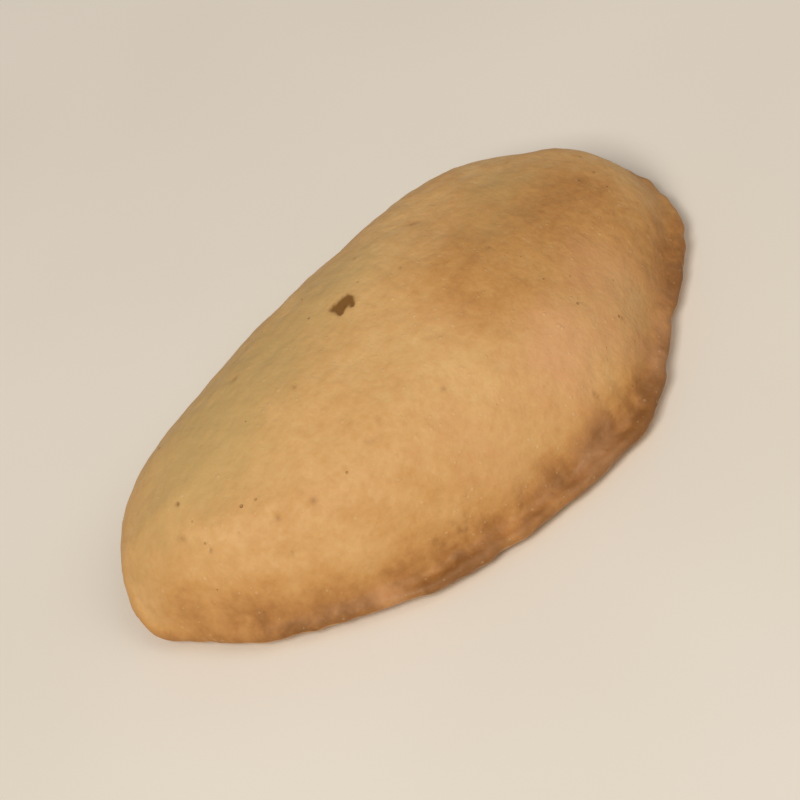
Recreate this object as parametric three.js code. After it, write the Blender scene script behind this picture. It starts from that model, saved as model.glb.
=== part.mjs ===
// A raviole: a half-moon biscuit of short pastry, folded over a filling, sealed along its round edge
// with the fingertips, and baked flat on a tray.
//
// The biscuit lies as it was baked. X runs along the fold, from tip to tip. The fold faces +Y and the
// sealed edge faces -Y. Z is up, the flat underside is at z = 0, and the origin is the middle of the
// underside. Lengths are in millimetres and angles in radians. Angles run round the plan outline:
// 0 at the +X tip, a quarter turn at the fold, and three quarters at the sealed edge.
import * as THREE from "three";

// Driving dimensions of the whole biscuit. A pair holds the values at the -X tip and at the +X tip.
const LENGTH = 108; // tip to tip, along the fold
const FOLD_REACH = [19.6, 20.4]; // from the line through the tips out to the fold
const SEAL_REACH = [43.9, 40.7]; // from the line through the tips out to the sealed edge
const CROWN_HEIGHT = 26; // tray to the top of the dome

// Plan outline: parts of superellipses that meet at the tips. Above 2 they turn faster at the ends.
const FOLD_SQUARENESS = [2.35, 2.34];
const SEAL_SQUARENESS = [1.87, 1.61];
const OUTLINE_SKEW = 0.13; // drop towards the sealed edge for each millimetre towards +X

// Where the hands shaped the outline: around an angle, so far out. Below 0 it is tucked in, as it is
// at both ends of the fold.
const SHAPED_STRETCHES = [
  { middle: -2.2, half: 0.45, out: 0.6 },
  { middle: -1.2, half: 0.27, out: 2 },
  { middle: -0.45, half: 0.35, out: 2.4 },
  { middle: 0.4, half: 0.32, out: -3.7 },
  { middle: 0.95, half: 0.4, out: 1.8 },
  { middle: 2.2, half: 0.4, out: 1 },
  { middle: 2.75, half: 0.32, out: -1.5 },
  { middle: 3.25, half: 0.25, out: 1.7 },
];

// The line under the crown that every section runs to, and how far the crown sinks along it.
const SPINE_MIDDLE = new THREE.Vector2(2.6, -7);
const SPINE_HALF = 27.6; // half its length
const CROWN_SINK = [1.4, 4.7]; // at the ends of the spine

// Section through the folded side.
const FOLD_WAIST = 7; // height of its widest point
const FOLD_FLAT_INSET = 3.4; // how far the flat underside stops short of the widest point
const FOLD_FULLNESS = [2.3, 2.15]; // how long the dome stays high before it drops to the fold

// Section through the sealed edge.
const LIP_WAIST = 3.2; // height of the joint between the two layers of pastry
const LIP_RISE = 1.6; // thickness of the top layer above the joint
const LIP_ROUND = 2.2; // how far in its rounded edge reaches
const LIP_WIDTH_TIPS = [2, 2.4]; // from the outline in to the foot of the dome, at the tips
const LIP_WIDTH_MIDDLE = 3.4; // the same, halfway between the tips
const LIP_FLAT_INSET = [10.5, 6.5]; // how far the flat underside stops short of the outline
const LIP_CURL = 1.7; // how far the lip's underside lifts off the tray
const LIP_CURL_POWER = 1.6; // above 1 it lifts mostly near the outline
const SEAL_FULLNESS = 2.55;
const SEAL_STEEPNESS = 1.5;
const SEAM_DEPTH = 0.5; // how far the joint is sunk into the side of the lip
const SEAM_HALF = 0.7;
const SEAL_STARTS = 0.34; // sine of the angle where the fold gives way to the sealed edge
const SEAL_FULL = -0.12; // sine of the angle from which the section is all sealed edge

// Fingertip presses: a row of dents along the foot of the dome, no two quite alike.
const PRESSES = 18;
const PRESS_TURN = 2.4; // from one press to the next, in the wave that makes them uneven
const PRESS_WANDER = 0.26; // share of a press that its ends wander by
const PRESS_DEPTH = 1.2;
const PRESS_DEPTH_UNEVEN = 0.3; // share of the depth that it varies by
const PRESS_AT_TIPS = 0.3; // share of the dents that is left at the tips, which are pressed lightly
const FOOT_GROOVE = 0.35; // depth that stays between two dents
const FOOT_HALF = 1.8; // half width of the dents, across the lip
const PRESS_SPREAD = 0.6; // how far each press squeezes the lip outwards
const PRESS_REACH = 8; // how far in the squeezing runs

// Slow swells of the crust: a sum of waves, each with its own direction, start and share.
const SWELL = 0.4;
const SWELL_LENGTH = 26;
const SWELL_WAVES = [
  { alongX: 0.9, alongY: 0.5, start: 0.4, share: 0.5 },
  { alongX: 0.45, alongY: -1.15, start: 1.9, share: 0.3 },
  { alongX: 1.5, alongY: -0.7, start: 3.3, share: 0.2 },
];

// Mesh.
const CAP_CELLS = 44; // grid cells along each side of the cap on the dome
const AROUND = 4 * CAP_CELLS;
const CAP_SPINE_POWER = 0.6; // below 1 the cap's middle spreads along the spine
const RIM_BAND = 12; // width of the ringed band between the cap and the outline
const RIM_RINGS = 12;
const RIM_CROWDING = 2.2; // above 1 the rings crowd towards the outline
const UNDER_RINGS = 5;
const UNDER_CROWDING = 2;

const CRUST_COLOUR = 0xcd9f65;
const CRUST_ROUGHNESS = 0.72;

const { lerp, smoothstep, clamp } = THREE.MathUtils;
const bell = (distance, half) => Math.exp(-((distance / half) ** 2));
const signedPower = (value, power) => Math.sign(value) * Math.abs(value) ** power;
const betweenTips = ([minusX, plusX], angle) => lerp(minusX, plusX, (1 + Math.cos(angle)) / 2);

// A quarter circle: 0 at the start, 1 from the end on, and upright at the start.
const rounded = (share) => Math.sqrt(1 - (1 - clamp(share, 0, 1)) ** 2);

// How much of the sealed edge's section applies at an angle: 0 on the fold, 1 on the sealed edge.
const sealShare = (angle) => 1 - smoothstep(Math.sin(angle), SEAL_FULL, SEAL_STARTS);

// Ends of the presses, as shares of the way along the sealed edge from the -X tip to the +X tip.
const PRESS_ENDS = Array.from({ length: PRESSES + 1 }, (_, k) => {
  return (k + PRESS_WANDER * Math.sin(PRESS_TURN * k)) / PRESSES;
});

// How firmly the crust was pressed at an angle: about 1 in the middle of a press and 0 at its ends.
function pressed(angle) {
  const along = 1 - Math.atan2(-Math.sin(angle), Math.cos(angle)) / Math.PI;
  for (let k = 0; k < PRESSES; k++) {
    const middle = (PRESS_ENDS[k] + PRESS_ENDS[k + 1]) / 2;
    const half = (PRESS_ENDS[k + 1] - PRESS_ENDS[k]) / 2;
    const away = Math.abs(along - middle) / half;
    const firmness = 1 + PRESS_DEPTH_UNEVEN * Math.cos(PRESS_TURN * k);
    if (away <= 1) return firmness * (1 - away ** 2) * sealShare(angle);
  }
  return 0;
}

// How far the hands brought the outline out at an angle.
function shapedOut(angle) {
  let total = 0;
  for (const { middle, half, out } of SHAPED_STRETCHES) {
    const turned = Math.atan2(Math.sin(angle - middle), Math.cos(angle - middle));
    total += out * bell(turned, half);
  }
  return total;
}

// Plan outline at an angle, before the hands shaped it and pressed it.
function outline(angle) {
  const [c, s] = [Math.cos(angle), Math.sin(angle)];
  const reach = betweenTips(s >= 0 ? FOLD_REACH : SEAL_REACH, angle);
  const squareness = betweenTips(s >= 0 ? FOLD_SQUARENESS : SEAL_SQUARENESS, angle);
  const x = (LENGTH / 2) * signedPower(c, 2 / squareness);
  const y = reach * signedPower(s, 2 / squareness);
  return new THREE.Vector2(x, y - OUTLINE_SKEW * x);
}

// The section at an angle: where it starts on the outline, where it ends on the spine, and its length.
function sectionAt(angle) {
  const rim = outline(angle);
  const alongSpine = new THREE.Vector2(SPINE_HALF * Math.cos(angle), 0);
  const spine = SPINE_MIDDLE.clone().add(alongSpine);
  const outwards = rim.clone().sub(spine).normalize();
  rim.addScaledVector(outwards, shapedOut(angle));
  return { rim, spine, length: rim.distanceTo(spine) };
}

// Height of the top at a distance in from the outline, along a section of the given length.
function topHeight(angle, inward, length) {
  const share = clamp(inward / length, 0, 1);
  const foldDome = Math.sqrt(1 - (1 - share) ** betweenTips(FOLD_FULLNESS, angle));
  const fold = lerp(FOLD_WAIST, CROWN_HEIGHT, foldDome);

  const lip = LIP_WAIST + LIP_RISE * rounded(inward / LIP_ROUND);
  const lipWidth = lerp(betweenTips(LIP_WIDTH_TIPS, angle), LIP_WIDTH_MIDDLE, Math.sin(angle) ** 2);
  const climb = clamp((inward - lipWidth) / (length - lipWidth), 0, 1);
  const sealDome = (1 - (1 - climb) ** SEAL_FULLNESS) ** (1 / SEAL_STEEPNESS);
  const rise = (CROWN_HEIGHT - LIP_WAIST - LIP_RISE) * sealDome;
  const firmness = lerp(PRESS_AT_TIPS, 1, Math.sin(angle) ** 2);
  const deepest = firmness * (FOOT_GROOVE + PRESS_DEPTH * pressed(angle));
  const dent = deepest * bell(inward - lipWidth, FOOT_HALF);
  return lerp(fold, lip + rise - dent, sealShare(angle));
}

// The same height where the point lies at x, y: the crown sinks towards the tips and swells slowly.
function crustHeight(height, x, y) {
  const along = (x - SPINE_MIDDLE.x) / SPINE_HALF;
  const sink = (along < 0 ? CROWN_SINK[0] : CROWN_SINK[1]) * along ** 2;
  let swelling = 0;
  for (const { alongX, alongY, start, share } of SWELL_WAVES) {
    const turn = (2 * Math.PI * (alongX * x + alongY * y)) / SWELL_LENGTH;
    swelling += SWELL * share * Math.sin(turn + start);
  }
  const domed = clamp((height - FOLD_WAIST) / (CROWN_HEIGHT - FOLD_WAIST), 0, 1);
  return height - sink * domed ** 2 + swelling * domed;
}

// Height of the underside at a share of the way in from the outline to the flat face.
function underHeight(angle, share) {
  const fold = FOLD_WAIST * (1 - rounded(share));
  const inward = share * betweenTips(LIP_FLAT_INSET, angle);
  const edge = (LIP_WAIST - LIP_CURL) * (1 - rounded(inward / LIP_ROUND));
  const seal = edge + LIP_CURL * (1 - share) ** LIP_CURL_POWER;
  return lerp(fold, seal, sealShare(angle));
}

// Plan position of a point of the rim at a distance in from the outline. The presses squeeze it
// outwards, and the seam sinks it where the two layers of the lip meet.
function rimPlace(angle, inward, height) {
  const { rim, spine, length } = sectionAt(angle);
  const near = 1 - smoothstep(inward, 0, PRESS_REACH);
  const squeezed = PRESS_SPREAD * pressed(angle) * near;
  const seam = SEAM_DEPTH * bell(height - LIP_WAIST, SEAM_HALF) * near * sealShare(angle);
  return rim.lerp(spine, (inward + seam - squeezed) / length);
}

// Position in the ringed band on top, from the outline (ring 0) in to the cap.
function upperRimPoint(angle, ring) {
  const inward = RIM_BAND * (ring / RIM_RINGS) ** RIM_CROWDING;
  const height = topHeight(angle, inward, sectionAt(angle).length);
  const { x, y } = rimPlace(angle, inward, height);
  return new THREE.Vector3(x, y, crustHeight(height, x, y));
}

// Position in the ringed band underneath, from the outline (ring 0) in to the flat face.
function lowerRimPoint(angle, ring) {
  const inset = lerp(FOLD_FLAT_INSET, betweenTips(LIP_FLAT_INSET, angle), sealShare(angle));
  const share = (ring / UNDER_RINGS) ** UNDER_CROWDING;
  const height = underHeight(angle, share);
  const { x, y } = rimPlace(angle, inset * share, height);
  return new THREE.Vector3(x, y, height);
}

// Position on the cap over the dome. The share runs from 0 on the crown to 1 at the ringed band.
function capPoint(angle, share) {
  const { rim, spine, length } = sectionAt(angle);
  const edge = rim.lerp(spine, RIM_BAND / length);
  const root = SPINE_MIDDLE.clone().lerp(spine, share ** CAP_SPINE_POWER);
  const { x, y } = root.addScaledVector(edge.sub(spine), share);
  const height = topHeight(angle, lerp(length, RIM_BAND, share), length);
  return new THREE.Vector3(x, y, crustHeight(height, x, y));
}

// Angle and share of the cap's grid corner i, j: a square grid wrapped onto a disc, so it has no pole.
function discPlace(i, j) {
  const u = (2 * i) / CAP_CELLS - 1;
  const v = (2 * j) / CAP_CELLS - 1;
  const share = Math.max(Math.abs(u), Math.abs(v));
  if (share === 0) return { angle: 0, share };
  const eighth = Math.PI / 4;
  const sideways = Math.abs(u) >= Math.abs(v);
  const angle = sideways ? (eighth * v) / u : 2 * eighth - (eighth * u) / v;
  const behind = sideways ? u < 0 : v < 0;
  return { angle: behind ? angle + Math.PI : angle, share };
}

// Grid corners round the edge of the cap, counter-clockwise from the middle of the +X side.
function capEdge() {
  const n = CAP_CELLS;
  const corners = [];
  for (let j = n / 2; j < n; j++) corners.push([n, j]);
  for (let i = n; i > 0; i--) corners.push([i, n]);
  for (let j = n; j > 0; j--) corners.push([0, j]);
  for (let i = 0; i < n; i++) corners.push([i, 0]);
  for (let j = 0; j < n / 2; j++) corners.push([n, j]);
  return corners;
}

// The whole crust as one closed surface.
function biscuitGeometry() {
  const points = [];
  const triangles = [];
  const add = (point) => points.push(point) - 1;
  const quad = (a, b, c, d) => {
    const cutAC = points[a].distanceTo(points[c]) < points[b].distanceTo(points[d]);
    triangles.push(...(cutAC ? [a, b, c, a, c, d] : [a, b, d, b, c, d]));
  };

  const corners = [...Array(CAP_CELLS + 1).keys()];
  const cap = corners.map((i) =>
    corners.map((j) => {
      const { angle, share } = discPlace(i, j);
      return add(capPoint(angle, share));
    }),
  );
  for (let i = 0; i < CAP_CELLS; i++) {
    for (let j = 0; j < CAP_CELLS; j++) {
      quad(cap[i][j], cap[i + 1][j], cap[i + 1][j + 1], cap[i][j + 1]);
    }
  }

  const angles = [...Array(AROUND).keys()].map((k) => (2 * Math.PI * k) / AROUND);
  const rings = [capEdge().map(([i, j]) => cap[i][j])];
  for (let ring = RIM_RINGS - 1; ring >= 0; ring--) {
    rings.push(angles.map((angle) => add(upperRimPoint(angle, ring))));
  }
  for (let ring = 1; ring <= UNDER_RINGS; ring++) {
    rings.push(angles.map((angle) => add(lowerRimPoint(angle, ring))));
  }
  for (let r = 0; r + 1 < rings.length; r++) {
    for (let k = 0; k < AROUND; k++) {
      const next = (k + 1) % AROUND;
      quad(rings[r][k], rings[r + 1][k], rings[r + 1][next], rings[r][next]);
    }
  }

  const flat = rings.at(-1);
  const contour = flat.map((v) => new THREE.Vector2(points[v].x, points[v].y));
  for (const [a, b, c] of THREE.ShapeUtils.triangulateShape(contour, [])) {
    triangles.push(flat[a], flat[c], flat[b]);
  }
  return new THREE.BufferGeometry().setFromPoints(points).setIndex(triangles);
}

// Moves the middle of the underside to the origin, and gives the surface its normals.
function centred(geometry) {
  geometry.computeBoundingBox();
  const middle = geometry.boundingBox.getCenter(new THREE.Vector3());
  geometry.translate(-middle.x, -middle.y, -geometry.boundingBox.min.z);
  geometry.computeVertexNormals();
  return geometry;
}

const crust = new THREE.MeshStandardMaterial({
  color: CRUST_COLOUR,
  roughness: CRUST_ROUGHNESS,
  metalness: 0,
});
const cookie = new THREE.Mesh(centred(biscuitGeometry()), crust);
cookie.name = "cookie";

const raviole = new THREE.Group();
raviole.add(cookie);
export default raviole;
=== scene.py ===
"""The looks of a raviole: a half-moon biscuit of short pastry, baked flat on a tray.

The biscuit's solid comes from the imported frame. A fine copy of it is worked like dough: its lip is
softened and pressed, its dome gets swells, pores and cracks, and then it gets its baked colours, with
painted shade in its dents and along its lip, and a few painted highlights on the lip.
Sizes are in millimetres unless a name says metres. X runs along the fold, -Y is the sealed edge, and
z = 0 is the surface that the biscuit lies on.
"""

import logging
import math
import random
from dataclasses import dataclass, field
from enum import Enum

import bpy
import numpy as np
from mathutils import Matrix, Vector, kdtree, noise


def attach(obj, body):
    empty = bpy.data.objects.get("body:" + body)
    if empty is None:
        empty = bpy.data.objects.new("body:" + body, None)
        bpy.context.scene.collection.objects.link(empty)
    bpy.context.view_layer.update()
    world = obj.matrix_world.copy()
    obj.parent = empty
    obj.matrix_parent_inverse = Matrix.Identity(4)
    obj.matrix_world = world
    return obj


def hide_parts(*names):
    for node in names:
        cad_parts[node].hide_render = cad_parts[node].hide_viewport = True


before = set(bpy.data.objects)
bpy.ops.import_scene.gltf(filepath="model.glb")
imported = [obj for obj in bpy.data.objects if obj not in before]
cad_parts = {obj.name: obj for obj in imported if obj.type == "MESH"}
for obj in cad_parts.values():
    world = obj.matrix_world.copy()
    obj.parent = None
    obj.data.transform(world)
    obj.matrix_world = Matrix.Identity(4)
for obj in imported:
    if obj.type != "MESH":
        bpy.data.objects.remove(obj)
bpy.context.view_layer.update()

LOG = logging.getLogger("raviole")
METRE = 1000.0
NODE = "cookie"
BODY = "root"
NOISE_WAY = (1.0, 2.3, -1.7)  # the way through the noise along which patterns start
HARDLY, HALF, FULLY = 0.1, 0.5, 0.9  # shares that tell one side of the crust from another

Socket = bpy.types.NodeSocket
Array = np.ndarray


def ease(values: Array | float, start: float, end: float) -> Array:
    """Turns a range into a smooth step.

    Args:
        values: The values to test.
        start: Where the step is 0.
        end: Where the step is 1. It may lie below the start.

    Returns:
        The step at each value, from 0 to 1.
    """
    share = np.clip((np.asarray(values) - start) / (end - start), 0.0, 1.0)
    return share * share * (3.0 - 2.0 * share)


def bell(distances: Array | float, half: float) -> Array:
    """A bump that is 1 at no distance and fades out past the half width."""
    return np.exp(-((np.asarray(distances) / half) ** 2))


@dataclass(frozen=True)
class Span:
    """A smooth step over a range of some measure: 0 at its start, and 1 at its end."""

    start: float
    end: float

    def over(self, values: Array) -> Array:
        """The step at each value."""
        return ease(values, self.start, self.end)


@dataclass(frozen=True)
class Band:
    """A smooth band over some measure: 1 in its middle, fading out past its half width."""

    middle: float
    half: float

    def over(self, values: Array) -> Array:
        """The band at each value."""
        return bell(values - self.middle, self.half)


def direction(azimuth: float, elevation: float) -> Vector:
    """The way from the biscuit to a viewer.

    Args:
        azimuth: Degrees round it, with 0 in front of the sealed edge.
        elevation: Degrees above the table.

    Returns:
        A direction of length 1.
    """
    turn, rise = math.radians(azimuth), math.radians(elevation)
    level = math.cos(rise)
    return Vector((math.sin(turn) * level, -math.cos(turn) * level, math.sin(rise)))


@dataclass(frozen=True)
class Tone:
    """A colour as it looks in even light, each part from 0 to 255."""

    red: float
    green: float
    blue: float

    def linear(self) -> tuple[float, float, float, float]:
        """The colour as a shader wants it: linear, with an alpha of 1."""
        parts = [c / 255 for c in (self.red, self.green, self.blue)]
        return (*(c / 12.92 if c < 0.04045 else ((c + 0.055) / 1.055) ** 2.4 for c in parts), 1.0)


class Graph:
    """Adds nodes to a node tree and links them, so that a finish reads like a recipe."""

    def __init__(self, tree: bpy.types.NodeTree) -> None:
        """Takes the tree that the nodes go into."""
        self.tree = tree

    def add(self, kind: str, inputs: dict[str | int, object], **settings: object) -> bpy.types.Node:
        """Adds one node.

        Args:
            kind: The node's type, without the word Shader Node.
            inputs: Values or sockets for its inputs, by name or number.
            **settings: Values for the node's own properties.

        Returns:
            The node.
        """
        node = self.tree.nodes.new("ShaderNode" + kind)
        for name, value in settings.items():
            setattr(node, name, value)
        for name, value in inputs.items():
            if isinstance(value, Socket):
                self.tree.links.new(value, node.inputs[name])
            else:
                node.inputs[name].default_value = value
        return node

    def math(self, operation: str, first: object, second: object = 0.0, third: object = 0.0) -> Socket:
        """A small calculation with two or three values, each a number or a socket."""
        inputs = {0: first, 1: second, 2: third}
        return self.add("Math", inputs, operation=operation).outputs[0]

    def times(self, first: object, *others: object) -> Socket:
        """The product of some values, each a number or a socket."""
        for other in others:
            first = self.math("MULTIPLY", first, other)
        return first

    def weighed(self, start: object, *parts: tuple[object, object]) -> Socket:
        """A sum of parts.

        Args:
            start: The number or socket that the parts are added to.
            *parts: For each part, its value and its weight.

        Returns:
            The sum's socket.
        """
        for value, weight in parts:
            start = self.math("MULTIPLY_ADD", value, weight, start)
        return start

    def step(
        self, value: Socket, low: float, high: float, first: float = 0.0, last: float = 1.0
    ) -> Socket:
        """A smooth step of a value.

        Args:
            value: The value to test.
            low: Where the step starts.
            high: Where it ends. It may lie below the start.
            first: What it gives at the start.
            last: What it gives at the end.

        Returns:
            The step's socket.
        """
        inputs = {"Value": value, "From Min": low, "From Max": high, "To Min": first, "To Max": last}
        return self.add("MapRange", inputs, interpolation_type="SMOOTHSTEP").outputs["Result"]

    def noise(self, place: Socket, length: float, detail: float = 2.0, roughness: float = 0.5) -> Socket:
        """Noise from about -0.3 to 0.3, whose bumps are about as far apart as the length."""
        inputs = {"Vector": place, "Scale": 1.0 / length, "Detail": detail, "Roughness": roughness}
        return self.math("SUBTRACT", self.add("TexNoise", inputs).outputs["Fac"], 0.5)

    def dots(self, place: Socket, spacing: float, radius: float, share: float) -> Socket:
        """Round dots of uneven size.

        Args:
            place: The place on the piece, in millimetres.
            spacing: The distance between places where a dot may be.
            radius: The largest dot's radius.
            share: How many of the places have a dot, from 0 to 1.

        Returns:
            A mask that is 1 inside the dots.
        """
        cells = self.add("TexVoronoi", {"Vector": place, "Scale": 1.0 / spacing})
        drawn = self.add("SeparateColor", {"Color": cells.outputs["Color"]}).outputs
        edge = self.times(self.math("MULTIPLY_ADD", drawn["Green"], 0.6, 0.4), radius / spacing)
        inside = self.math("DIVIDE", cells.outputs["Distance"], edge)
        chosen = self.step(drawn["Red"], low=share, high=share - 0.02)
        return self.times(self.step(inside, low=1.15, high=0.6), chosen)

    def mix(self, share: object, first: object, second: object) -> Socket:
        """A mix of two colours.

        Args:
            share: How much of the second one shows.
            first: A tone or a colour's socket.
            second: A tone or a colour's socket.

        Returns:
            The mixed colour's socket.
        """
        both = [c.linear() if isinstance(c, Tone) else c for c in (first, second)]
        inputs = {0: share, 6: both[0], 7: both[1]}
        return self.add("Mix", inputs, data_type="RGBA").outputs[2]

    def ramp(self, value: Socket, stops: list[tuple[float, Tone]]) -> Socket:
        """A run of colours.

        Args:
            value: Where on the run to look, from 0 to 1.
            stops: Places on the run and their tones, in order.

        Returns:
            The colour's socket.
        """
        node = self.add("ValToRGB", {"Fac": value})
        run = node.color_ramp.elements
        while len(run) < len(stops):
            run.new(0.5)
        for element, (place, tone) in zip(run, stops):
            element.position = place
            element.color = tone.linear()
        return node.outputs["Color"]

    def attribute(self, name: str) -> Socket:
        """A number that the mesh keeps at each point."""
        return self.add("Attribute", {}, attribute_name=name).outputs["Fac"]

    def millimetres(self) -> Socket:
        """Reads the place on the piece.

        Returns:
            The place's socket, in millimetres.
        """
        place = self.add("TexCoord", {}).outputs["Object"]
        scale = (METRE, METRE, METRE)
        return self.add("Mapping", {"Vector": place, "Scale": scale}).outputs["Vector"]


def pastry_grain() -> bpy.types.NodeTree:
    """Builds the fine grain of baked short pastry.

    Returns:
        A node group. It takes a place in millimetres, and gives a height in millimetres, a mottling
        about 0, and masks of small dark pits and of pale floury grains.
    """
    tree = bpy.data.node_groups.new("pastry_grain", "ShaderNodeTree")
    tree.interface.new_socket("Place", in_out="INPUT", socket_type="NodeSocketVector")
    for name in ("Height", "Mottling", "Pits", "Flour"):
        tree.interface.new_socket(name, in_out="OUTPUT", socket_type="NodeSocketFloat")
    graph = Graph(tree)
    place = tree.nodes.new("NodeGroupInput").outputs["Place"]

    sand = graph.noise(place, length=0.55, detail=1.0)
    grains = graph.noise(place, length=1.2)
    lumps = graph.noise(place, length=2.7)
    crowd = graph.step(graph.noise(place, length=17.0), low=-0.04, high=0.14)
    pits = graph.times(graph.dots(place, spacing=1.7, radius=0.24, share=0.22), crowd)
    pits = graph.math("MAXIMUM", pits, graph.dots(place, spacing=4.6, radius=0.32, share=0.12))
    flour = graph.dots(place, spacing=1.3, radius=0.34, share=0.35)
    height = graph.weighed(0.0, (sand, 0.03), (grains, 0.12), (lumps, 0.28))
    height = graph.weighed(height, (pits, -0.25), (flour, 0.05))
    mottling = graph.weighed(0.0, (sand, 0.25), (grains, 0.7), (lumps, 0.8))

    given = tree.nodes.new("NodeGroupOutput")
    for name, socket in (("Height", height), ("Mottling", mottling), ("Pits", pits), ("Flour", flour)):
        tree.links.new(socket, given.inputs[name])
    return tree


@dataclass(frozen=True)
class CrustFinish:
    """Baked short pastry: cream to tan, golden to brown where it took more heat, nearly dull.

    The shift keeps the base away from the noise's own origin, where its sizes line up and draw a
    faint star. The shares say how much of a tone shows at most.
    """

    name: str = "baked_crust"
    raw: Tone = Tone(226, 192, 136)
    pale: Tone = Tone(217, 176, 117)
    tan: Tone = Tone(208, 161, 101)
    golden: Tone = Tone(196, 144, 82)
    brown: Tone = Tone(172, 119, 63)
    dark: Tone = Tone(136, 90, 44)
    pit: Tone = Tone(138, 86, 38)
    scorched: Tone = Tone(116, 74, 16)
    olive: Tone = Tone(194, 164, 106)
    rosy: Tone = Tone(214, 161, 114)
    flour: Tone = Tone(232, 204, 156)
    base: Tone = Tone(176, 130, 86)
    base_pale: Tone = Tone(204, 164, 118)
    base_brown: Tone = Tone(150, 104, 62)
    roughness: float = 0.6
    base_roughness: float = 0.8
    shift: tuple[float, float, float] = (37.0, 23.0, 9.0)
    gloss: float = 0.35
    glow: float = 0.1
    glow_reach_m: float = 0.0008
    glow_parts: tuple[float, float, float] = (1.0, 0.5, 0.22)
    flour_share: float = 0.16
    pit_share: float = 0.5
    scorched_share: float = 0.92
    olive_share: float = 0.75
    rosy_share: float = 0.7
    streak_share: float = 0.55
    streak_turn: float = 0.9
    streak_scale: tuple[float, float, float] = (0.22, 1.5, 1.0)
    grain_share: float = 0.6

    def build(self, grain: bpy.types.NodeTree) -> bpy.types.Material:
        """Makes the material.

        Args:
            grain: The group that gives the fine grain of pastry.

        Returns:
            The material, which reads the masks that the crust's mesh keeps.
        """
        material = bpy.data.materials.new(self.name)
        material.use_nodes = True
        tree = material.node_tree
        graph = Graph(tree)
        shader = tree.nodes["Principled BSDF"]
        place = graph.millimetres()
        shifted = graph.add("Mapping", {"Vector": place, "Location": self.shift}).outputs["Vector"]
        fine = graph.add("Group", {}, node_tree=grain)
        tree.links.new(shifted, fine.inputs["Place"])
        mottling = fine.outputs["Mottling"]
        base = graph.attribute("base")

        colour = self.top_colour(graph, place, mottling)
        colour = graph.mix(graph.times(fine.outputs["Flour"], self.flour_share), colour, self.flour)
        colour = graph.mix(base, colour, self.base_colour(graph, shifted, mottling))
        colour = graph.mix(graph.attribute("crumbs"), colour, self.flour)
        colour = graph.mix(graph.times(fine.outputs["Pits"], self.pit_share), colour, self.pit)
        colour = graph.mix(graph.attribute("pores"), colour, self.pit)
        ragged = graph.noise(place, length=0.9, detail=3.0, roughness=0.6)
        burnt = graph.weighed(graph.attribute("scorch"), (ragged, 0.6))
        burnt = graph.step(burnt, low=0.2, high=1.15, last=self.scorched_share)
        colour = graph.mix(burnt, colour, self.scorched)
        tree.links.new(colour, shader.inputs["Base Color"])

        spread = self.base_roughness - self.roughness
        rough = graph.weighed(self.roughness, (mottling, 0.3), (base, spread))
        tree.links.new(rough, shader.inputs["Roughness"])
        height = fine.outputs["Height"]
        bump = graph.add("Bump", {"Height": height, "Distance": 1 / METRE, "Strength": 1.0})
        tree.links.new(bump.outputs["Normal"], shader.inputs["Normal"])
        shader.inputs["Specular IOR Level"].default_value = self.gloss
        shader.inputs["Subsurface Weight"].default_value = self.glow
        shader.inputs["Subsurface Radius"].default_value = self.glow_parts
        shader.inputs["Subsurface Scale"].default_value = self.glow_reach_m
        return material

    def top_colour(self, graph: Graph, place: Socket, mottling: Socket) -> Socket:
        """Colours the crust by how brown it is baked.

        Args:
            graph: The material's nodes.
            place: The place on the piece, in millimetres.
            mottling: Fine unevenness of the colour, about 0.

        Returns:
            The colour's socket.
        """
        patches = graph.noise(place, length=9.0, detail=3.0)
        spots = graph.noise(place, length=3.2, detail=3.0, roughness=0.6)
        # The browning mask carries the painted shade and painted highlights too.
        baked = graph.attribute("browning_and_shade")
        baked = graph.weighed(baked, (patches, 0.36), (spots, 0.27), (mottling, 0.26))
        stops = [(0.0, self.raw), (0.2, self.pale), (0.4, self.tan), (0.6, self.golden)]
        colour = graph.ramp(baked, [*stops, (0.8, self.brown), (1.0, self.dark)])
        olive = graph.weighed(graph.attribute("olive"), (patches, 0.5), (spots, 0.5))
        olive = graph.step(olive, low=0.1, high=0.9, last=self.olive_share)
        colour = graph.mix(olive, colour, self.olive)
        rosy = graph.weighed(graph.attribute("rosy"), (patches, 0.6), (spots, 0.5))
        rosy = graph.step(rosy, low=0.1, high=0.9, last=self.rosy_share)
        return graph.mix(rosy, colour, self.rosy)

    def base_colour(self, graph: Graph, place: Socket, mottling: Socket) -> Socket:
        """Colours the flat base, which took its heat from the tray.

        Args:
            graph: The material's nodes.
            place: The place on the piece, in millimetres.
            mottling: Fine unevenness of the colour, about 0.

        Returns:
            The colour's socket.
        """
        way = {"Vector": place, "Rotation": (0, 0, self.streak_turn), "Scale": self.streak_scale}
        turned = graph.add("Mapping", way).outputs["Vector"]
        streaks = graph.noise(turned, length=5.0, detail=3.0)
        streaks = graph.step(streaks, low=0.02, high=0.3, last=self.streak_share)
        clouds = graph.noise(place, length=12.0, detail=4.0, roughness=0.6)
        baked = graph.weighed(0.5, (clouds, 0.8), (mottling, 0.5))
        colour = graph.ramp(baked, [(0.15, self.base_pale), (0.5, self.base), (0.9, self.base_brown)])
        colour = graph.mix(streaks, colour, self.base_pale)
        grains = graph.dots(place, spacing=4.2, radius=0.5, share=0.4)
        return graph.mix(graph.times(grains, self.grain_share), colour, self.flour)


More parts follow.
